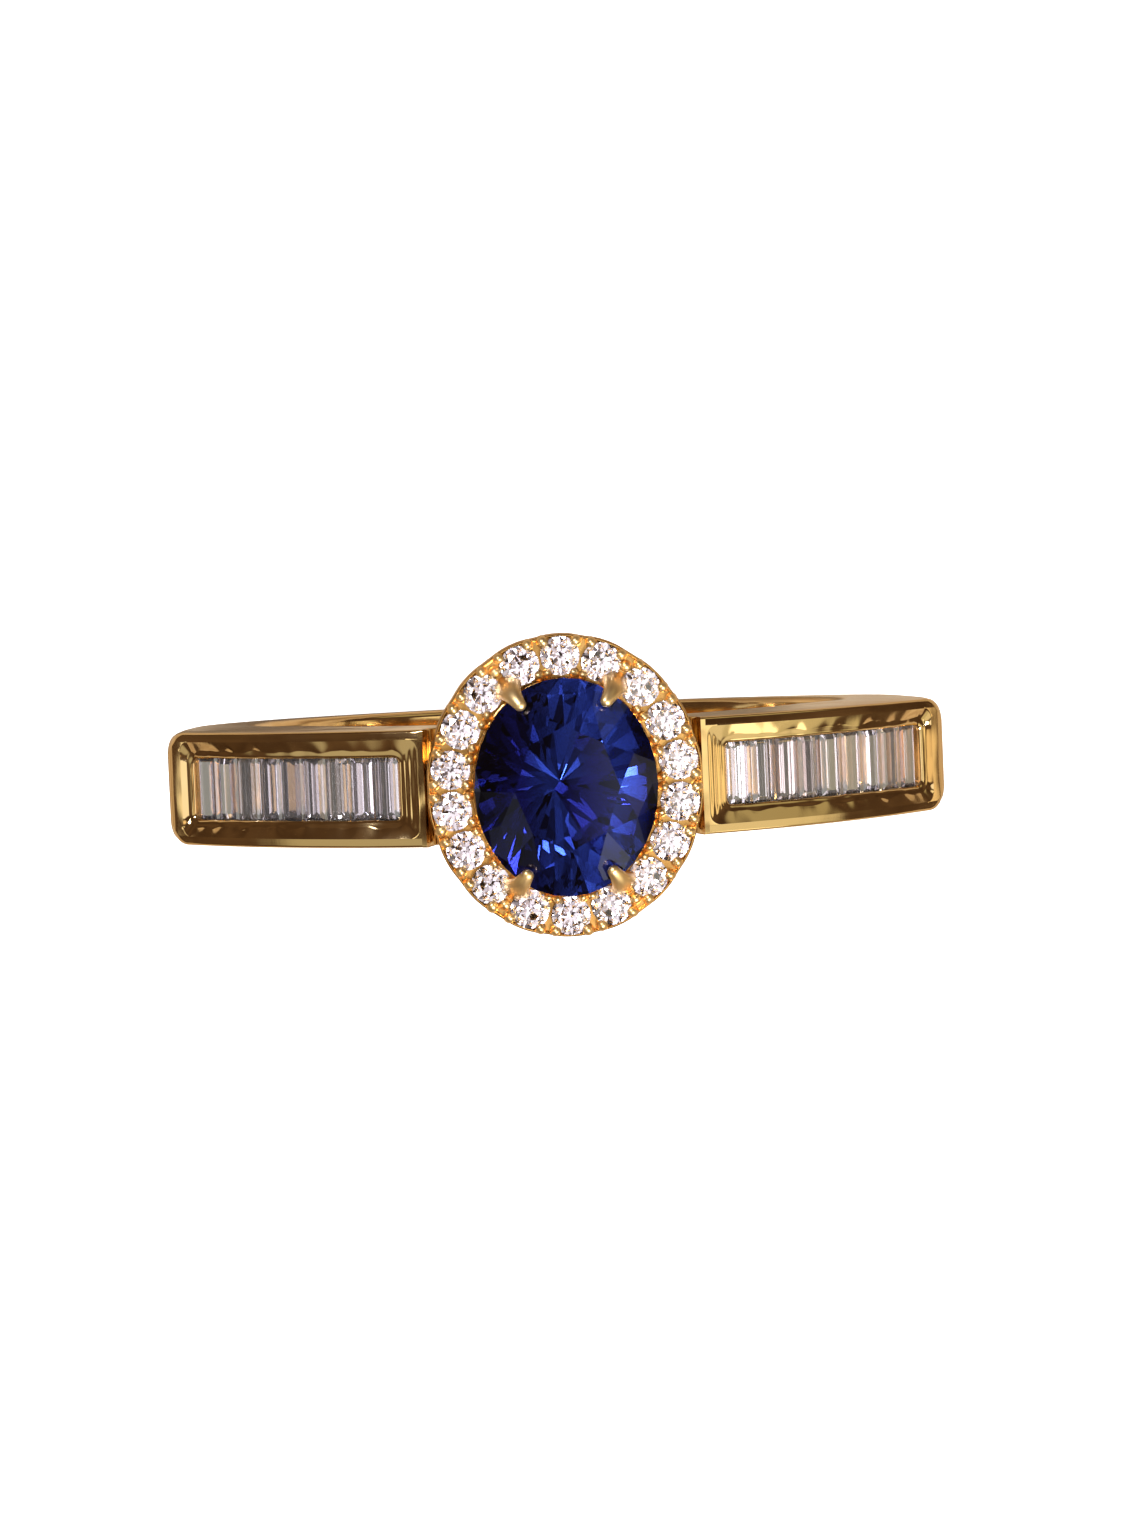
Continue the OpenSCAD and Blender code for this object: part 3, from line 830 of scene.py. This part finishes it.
def head_base_rail():
    """The oval wire that the head stands on, rounded outside and flat inside."""
    bulge = 0.12
    wall = 0.55
    middle = (BRIDGE_Z + BASE_TOP) / 2
    profile = []
    for a in spaced(-math.pi / 2, math.pi / 2, 8):
        out = bulge * math.cos(a)
        profile.append((BASE_RX - bulge + out, BASE_RY - bulge + out, middle + 0.2 * math.sin(a)))
    profile += [(BASE_RX - 0.5, BASE_RY - 0.5, BASE_TOP), (BASE_RX - wall, BASE_RY - wall, BASE_TOP - 0.05)]
    profile += [(BASE_RX - wall, BASE_RY - wall, BRIDGE_Z)]
    return weighted(new_piece("head_base_rail_body", *oval_tube(profile)))


def under_gallery():
    """The flared oval wall below the plate, with round piercings."""
    wall = 0.45
    top = (PLATE_RX - 0.2, PLATE_RY - 0.22, PLATE_BOTTOM)
    low = (BASE_RX, BASE_RY, BASE_TOP)
    profile = [low]
    for s in (0.25, 0.5, 0.75):
        flare = s - 0.08 * math.sin(math.pi * s)
        profile.append(tuple(low[k] + (top[k] - low[k]) * (flare if k < 2 else s) for k in range(3)))
    profile.append(top)
    profile += [(top[0] - wall, top[1] - wall, PLATE_BOTTOM), (low[0] - wall, low[1] - wall, BASE_TOP)]
    piece = new_piece("under_gallery_body", *oval_tube(profile))
    holes = 14
    hole_r = 0.27
    middle = (BASE_TOP + PLATE_BOTTOM) / 2
    drills = []
    for k in range(holes):
        a = (k + 0.5) * 2 * math.pi / holes
        rings = []
        for reach in (1.2, PLATE_RY + 0.5):
            ring = [(reach, hole_r * math.cos(b), middle + hole_r * math.sin(b))
                    for b in spaced(0, 2 * math.pi, 28)[:-1]]
            rings.append(placed(ring, (0, 0), a))
        drills.append(loft(rings))
    cut(piece, *joined(drills), "piercings")
    return weighted(piece)


# ---- Materials ----

def node_tree(name):
    """A new material with its nodes, its links and its main shader."""
    material = bpy.data.materials.new(name)
    material.use_nodes = True
    nodes = material.node_tree.nodes
    links = material.node_tree.links
    return material, nodes, links, nodes["Principled BSDF"]


def noise(nodes, links, scale, detail, stretch=(1, 1, 1), seed=0.0):
    """Noise in object space, stretched along an axis."""
    place = nodes.new("ShaderNodeTexCoord")
    mapping = nodes.new("ShaderNodeMapping")
    mapping.inputs["Scale"].default_value = stretch
    mapping.inputs["Location"].default_value = (seed, seed * 0.37, seed * 0.71)
    texture = nodes.new("ShaderNodeTexNoise")
    texture.inputs["Scale"].default_value = scale
    texture.inputs["Detail"].default_value = detail
    links.new(place.outputs["Object"], mapping.inputs["Vector"])
    links.new(mapping.outputs["Vector"], texture.inputs["Vector"])
    return texture.outputs["Fac"]


def ramp(nodes, links, source, low, high, soft=0.2):
    """Maps a 0 to 1 value on to a range, centred where noise has most of its values."""
    span = nodes.new("ShaderNodeMapRange")
    span.inputs["From Min"].default_value = 0.5 - soft
    span.inputs["From Max"].default_value = 0.5 + soft
    span.inputs["To Min"].default_value = low
    span.inputs["To Max"].default_value = high
    links.new(source, span.inputs["Value"])
    return span.outputs["Result"]


def colour_between(nodes, links, source, first, second):
    """Mixes two colours, each of which may be a node's output or three numbers."""
    mix = nodes.new("ShaderNodeMix")
    mix.data_type = "RGBA"
    for socket, colour in (("A", first), ("B", second)):
        if isinstance(colour, tuple):
            mix.inputs[socket].default_value = (*colour, 1)
        else:
            links.new(colour, mix.inputs[socket])
    links.new(source, mix.inputs["Factor"])
    return mix.outputs["Result"]


def gold(name, first, second, rough_low, rough_high, wave, scratch):
    """Polished gold: slight colour drift, worn patches, a hand-finished wave and fine scratches."""
    material, nodes, links, shader = node_tree(name)
    shader.inputs["Metallic"].default_value = 1.0
    drift = ramp(nodes, links, noise(nodes, links, 260, 3, seed=2.0), 0, 1)
    links.new(colour_between(nodes, links, drift, first, second), shader.inputs["Base Color"])
    worn = noise(nodes, links, 900, 5, seed=5.0)
    links.new(ramp(nodes, links, worn, rough_low, rough_high), shader.inputs["Roughness"])
    soft = nodes.new("ShaderNodeBump")
    soft.inputs["Strength"].default_value = 1.0
    soft.inputs["Distance"].default_value = wave * MM
    links.new(noise(nodes, links, 700, 1, seed=9.0), soft.inputs["Height"])
    fine = nodes.new("ShaderNodeBump")
    fine.inputs["Strength"].default_value = 1.0
    fine.inputs["Distance"].default_value = scratch * MM
    links.new(noise(nodes, links, 9000, 2, (1, 0.06, 1), 3.0), fine.inputs["Height"])
    links.new(soft.outputs["Normal"], fine.inputs["Normal"])
    links.new(fine.outputs["Normal"], shader.inputs["Normal"])
    return material


def gem(name, colour, ior, clear=1.0, mirror=(1, 1, 1)):
    """A faceted stone, faintly clouded; clear under 1 makes it hazy, and mirror tints what it reflects."""
    material, nodes, links, shader = node_tree(name)
    shader.inputs["Specular Tint"].default_value = (*mirror, 1)
    shader.inputs["Transmission Weight"].default_value = clear
    shader.inputs["IOR"].default_value = ior
    shader.inputs["Roughness"].default_value = 0.0
    cloud = ramp(nodes, links, noise(nodes, links, 500, 3, seed=4.0), 0, 1)
    deeper = tuple(c * 0.92 for c in colour)
    links.new(colour_between(nodes, links, cloud, colour, deeper), shader.inputs["Base Color"])
    return material


def paint_shade_on_side(material, shade_colour, start, end):
    """Paints shade on one side of a stone: a darker colour that fades out between two distances along X in
    millimetres.
    """
    nodes = material.node_tree.nodes
    links = material.node_tree.links
    base = nodes["Principled BSDF"].inputs["Base Color"]
    position = nodes.new("ShaderNodeSeparateXYZ")
    links.new(nodes.new("ShaderNodeTexCoord").outputs["Object"], position.inputs["Vector"])
    fade = nodes.new("ShaderNodeMapRange")
    fade.interpolation_type = "SMOOTHSTEP"
    fade.inputs["From Min"].default_value = start * MM
    fade.inputs["From Max"].default_value = end * MM
    links.new(position.outputs["X"], fade.inputs["Value"])
    pale = base.links[0].from_socket
    links.new(colour_between(nodes, links, fade.outputs["Result"], shade_colour, pale), base)


def dress_gem(name, material):
    """Gives a CAD stone its look, with flat facets."""
    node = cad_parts[name]
    node.data.materials.clear()
    node.data.materials.append(material)
    for polygon in node.data.polygons:
        polygon.use_smooth = False


# ---- Stage, lights and camera ----

def plane(name, size, centre, facing):
    """A flat stage card, facing a point."""
    w, h = size
    data = bpy.data.meshes.new(name)
    data.from_pydata([(-w / 2, -h / 2, 0), (w / 2, -h / 2, 0), (w / 2, h / 2, 0), (-w / 2, h / 2, 0)],
                     [], [(0, 1, 2, 3)])
    card = bpy.data.objects.new(name, data)
    bpy.context.scene.collection.objects.link(card)
    card.location = centre
    direction = Vector(facing) - Vector(centre)
    card.rotation_euler = direction.to_track_quat("Z", "Y").to_euler()
    return card


def pale_floor():
    """A matt white floor, lit from within where it is looked at; reflections see a warm, patchy table."""
    material, nodes, links, shader = node_tree("pale_floor")
    shader.inputs["Roughness"].default_value = 0.8
    shader.inputs["Emission Color"].default_value = (1, 1, 1, 1)
    path = nodes.new("ShaderNodeLightPath")
    seen = path.outputs["Is Camera Ray"]
    table = colour_between(nodes, links, ramp(nodes, links, noise(nodes, links, 120, 1, seed=1.0), 0, 1),
                           (0.22, 0.15, 0.09), (0.44, 0.36, 0.26))
    links.new(colour_between(nodes, links, seen, table, (0.85, 0.85, 0.85)), shader.inputs["Base Color"])
    strength = nodes.new("ShaderNodeMapRange")
    strength.inputs["To Min"].default_value = 0.0
    strength.inputs["To Max"].default_value = 0.75
    links.new(seen, strength.inputs["Value"])
    links.new(strength.outputs["Result"], shader.inputs["Emission Strength"])
    return material


def stage():
    floor = plane("floor", (0.16, 0.16), (0, 0, CAD_BOX[0][2]), (0, 0, 1))
    floor.data.materials.append(pale_floor())


def area_light(name, size, power, centre, target, colour):
    """A rectangular lamp that faces a point."""
    data = bpy.data.lights.new(name, "AREA")
    data.shape = "RECTANGLE"
    data.size = size[0]
    data.size_y = size[1]
    data.energy = power
    data.color = colour
    light = bpy.data.objects.new(name, data)
    bpy.context.scene.collection.objects.link(light)
    light.location = centre
    direction = Vector(target) - Vector(centre)
    light.rotation_euler = direction.to_track_quat("-Z", "Y").to_euler()


# Patches of light as (direction, degrees within which it is full, degrees beyond which it is gone, colour).
# Where two overlap, the later one covers the earlier. CARDS light the gold and SPARKS the stones.
CARDS = (
    ((-0.70, -0.42, 0.56), 12, 25, (0.46, 0.43, 0.32)),
    ((0.72, -0.40, 0.56), 12, 24, (0.80, 0.74, 0.54)),
    ((0.70, -0.66, 0.25), 8, 16, (0.62, 0.57, 0.38)),
    ((0.56, -0.77, 0.30), 7, 11, (1.80, 1.70, 1.30)),
    ((0.66, 0.66, 0.33), 8, 18, (0.42, 0.38, 0.24)),
    ((0.68, 0.02, 0.74), 5, 11, (1.25, 1.15, 0.85)),
    ((-0.66, 0.02, 0.75), 3.5, 6, (1.75, 1.65, 1.25)),
    ((-1.00, -0.06, 0.04), 3.5, 7.5, (1.15, 1.08, 0.86)),
    ((1.00, -0.06, -0.06), 4, 9, (1.00, 0.80, 0.50)),
    ((0.97, -0.06, 0.24), 3, 10, (1.20, 1.00, 0.60)),
    ((0.26, -0.07, 0.96), 12.3, 13.1, (1.10, 1.05, 0.95)),
    ((-0.26, 0.04, 0.96), 7, 12, (1.00, 0.78, 0.48)),
)
SPARKS = (
    ((0.22, 0.10, 1.00), 8, 17, (1.8, 1.65, 1.8)),
    ((0.30, 0.40, 0.87), 5, 9, (9.0, 8.8, 9.2)),
    ((-0.42, 0.20, 0.88), 4, 7, (8.0, 7.4, 9.0)),
    ((0.10, -0.46, 0.88), 4, 8, (8.0, 7.8, 8.0)),
    ((-0.30, -0.60, 0.70), 3, 7, (6.0, 5.4, 7.0)),
    ((0.60, 0.10, 0.78), 3, 7, (6.0, 5.6, 5.8)),
)


def glow(nodes, links, direction, facing, inner, outer, colour, before):
    """Adds a soft patch of light to the surroundings, full inside one angle and gone outside another."""
    towards = nodes.new("ShaderNodeVectorMath")
    towards.operation = "DOT_PRODUCT"
    towards.inputs[1].default_value = Vector(facing).normalized()
    links.new(direction, towards.inputs[0])
    fade = nodes.new("ShaderNodeMapRange")
    fade.interpolation_type = "SMOOTHSTEP"
    fade.inputs["From Min"].default_value = math.cos(math.radians(outer))
    fade.inputs["From Max"].default_value = math.cos(math.radians(inner))
    links.new(towards.outputs["Value"], fade.inputs["Value"])
    return colour_between(nodes, links, fade.outputs["Result"], before, colour)


def patches(nodes, links, direction, scale, stretch, soft=0.2):
    """Patches over the surroundings, from 0 to 1; the smaller soft is, the harder their edges."""
    mapping = nodes.new("ShaderNodeMapping")
    mapping.inputs["Scale"].default_value = stretch
    links.new(direction, mapping.inputs["Vector"])
    texture = nodes.new("ShaderNodeTexNoise")
    texture.inputs["Scale"].default_value = scale
    texture.inputs["Detail"].default_value = 2
    links.new(mapping.outputs["Vector"], texture.inputs["Vector"])
    return ramp(nodes, links, texture.outputs["Fac"], 0, 1, soft)


def studio_for_gold(nodes, links, direction):
    """Warm and dark, with soft cards of light on each side, in front, behind and overhead."""
    light = colour_between(nodes, links, patches(nodes, links, direction, 2.2, (1, 1, 1)),
                           (0.045, 0.024, 0.013), (0.115, 0.07, 0.04))
    for facing, inner, outer, colour in CARDS:
        light = glow(nodes, links, direction, facing, inner, outer, colour, light)
    return light


def studio_for_stones(nodes, links, direction):
    """Fine bright and dark patches, dimmer on the left than on the right, with a few sparks."""
    streaks = patches(nodes, links, direction, 5.0, (2.4, 0.7, 1.0), soft=0.09)
    dim = colour_between(nodes, links, streaks, (0.05, 0.035, 0.03), (1.00, 0.87, 0.90))
    bright = colour_between(nodes, links, streaks, (0.95, 0.78, 0.80), (3.4, 3.2, 3.4))
    light = glow(nodes, links, direction, (0.9, -0.1, 0.45), 25, 80, bright, dim)
    for facing, inner, outer, colour in SPARKS:
        light = glow(nodes, links, direction, facing, inner, outer, colour, light)
    return light


def surroundings():
    """What the gold reflects and what shines through the stones; the camera itself sees plain white."""
    world = bpy.data.worlds.new("studio")
    bpy.context.scene.world = world
    world.use_nodes = True
    nodes = world.node_tree.nodes
    links = world.node_tree.links
    direction = nodes.new("ShaderNodeTexCoord").outputs["Generated"]
    path = nodes.new("ShaderNodeLightPath")
    for_gold = studio_for_gold(nodes, links, direction)
    for_stones = studio_for_stones(nodes, links, direction)
    light = colour_between(nodes, links, path.outputs["Is Transmission Ray"], for_gold, for_stones)
    seen = colour_between(nodes, links, path.outputs["Is Camera Ray"], light, (0.95, 0.95, 0.95))
    links.new(seen, nodes["Background"].inputs["Color"])


def lights():
    surroundings()
    area_light("key", (0.05, 0.05), 0.60, (0.06, -0.10, 0.19), (0, 0, 0.005), (1, 0.98, 0.95))
    area_light("fill", (0.05, 0.05), 0.36, (-0.10, 0.12, 0.18), (0, 0, 0.005), (0.93, 0.95, 1))
    bpy.context.scene.view_settings.view_transform = "Standard"


def camera():
    """Looks down at the head, leaning a little towards the back and the left, and turned a little."""
    distance = 0.165
    sensor = 36
    view_width = 41.76
    aim_right = 0.18
    aim_up = 0.60
    lean = math.radians(4.0)
    swing = math.radians(-2.15)
    roll = math.radians(2.5)
    back = Vector((math.sin(swing) * math.cos(lean), math.sin(lean), math.cos(swing) * math.cos(lean)))
    right = Vector((0, 1, 0)).cross(back).normalized()
    up = back.cross(right)
    turned_right = right * math.cos(roll) - up * math.sin(roll)
    turned_up = up * math.cos(roll) + right * math.sin(roll)
    target = Vector((0, 0, 10 * MM)) + turned_right * aim_right * MM + turned_up * aim_up * MM
    data = bpy.data.cameras.new("camera")
    data.sensor_width = sensor
    data.lens = sensor * distance / (view_width * MM)
    data.clip_start = 0.005
    data.clip_end = 5
    eye = bpy.data.objects.new("camera", data)
    bpy.context.scene.collection.objects.link(eye)
    basis = Matrix((turned_right, turned_up, back)).transposed().to_4x4()
    eye.matrix_world = Matrix.Translation(target + back * distance) @ basis
    bpy.context.scene.camera = eye


# ---- The object ----

gold_light = gold("gold", (0.95, 0.70, 0.37), (0.90, 0.64, 0.31), 0.05, 0.14, 0.05, 0.0008)
# Painted bounce light: the halo plate and seat use a deeper orange copy of the same gold, for the warm glow
# between the halo stones.
head_gold_painted_bounce = gold("head_gold_painted_bounce", (0.96, 0.58, 0.20), (0.92, 0.50, 0.15), 0.16, 0.30, 0.03, 0.0008)
# Painted light: the claws and grains use a brighter copy of the same gold, lit in its colour.
claw_gold_painted_light = gold("claw_gold_painted_light", (1.00, 0.72, 0.36), (0.97, 0.66, 0.30), 0.34, 0.46, 0.02, 0.0006)
diamond = gem("diamond", (0.99, 0.98, 1.0), 2.42)
step_cut = [
    gem("baguette_clear", (0.99, 0.97, 0.98), 2.42, clear=0.94),
    gem("baguette_rose", (0.99, 0.91, 0.90), 2.42, clear=0.93),
    gem("baguette_lilac", (0.94, 0.93, 1.0), 2.42, clear=0.95),
]
blue = gem("sapphire", (0.006, 0.014, 0.100), 1.77, mirror=(0.42, 0.46, 0.85))
# Painted shade: the sapphire's left side is darkened in its colour.
paint_shade_on_side(blue, (0.0010, 0.0008, 0.018), -1.3, 0.1)

finished(shank(), "shank", gold_light)
for side in SIDES:
    finished(channel_bed(side), f"{side}_channel_bed", gold_light)
    for back in ("front", "back"):
        finished(rail(side, back), f"{side}_{back}_rail", gold_light)
finished(head_base_rail(), "head_base_rail", gold_light)
finished(under_gallery(), "under_gallery", gold_light)
finished(halo_plate(), "halo_plate", head_gold_painted_bounce)
finished(halo_grains(), "halo_grains", claw_gold_painted_light)
finished(sapphire_seat(), "sapphire_seat", head_gold_painted_bounce)
for number in (1, 2, 3, 4):
    finished(claw(number), f"claw_{number}", claw_gold_painted_light)

for number in range(1, HALO_COUNT + 1):
    dress_gem(f"halo_diamond_{number}", diamond)
cutting = random.Random(11)
for number in range(1, BAGUETTES + 1):
    for side in SIDES:
        stone = baguette(side, number, cutting)
        finished(stone, f"{side}_baguette_{number}", cutting.choice(step_cut))
finished(sapphire(), "sapphire", blue)

stage()
lights()
camera()
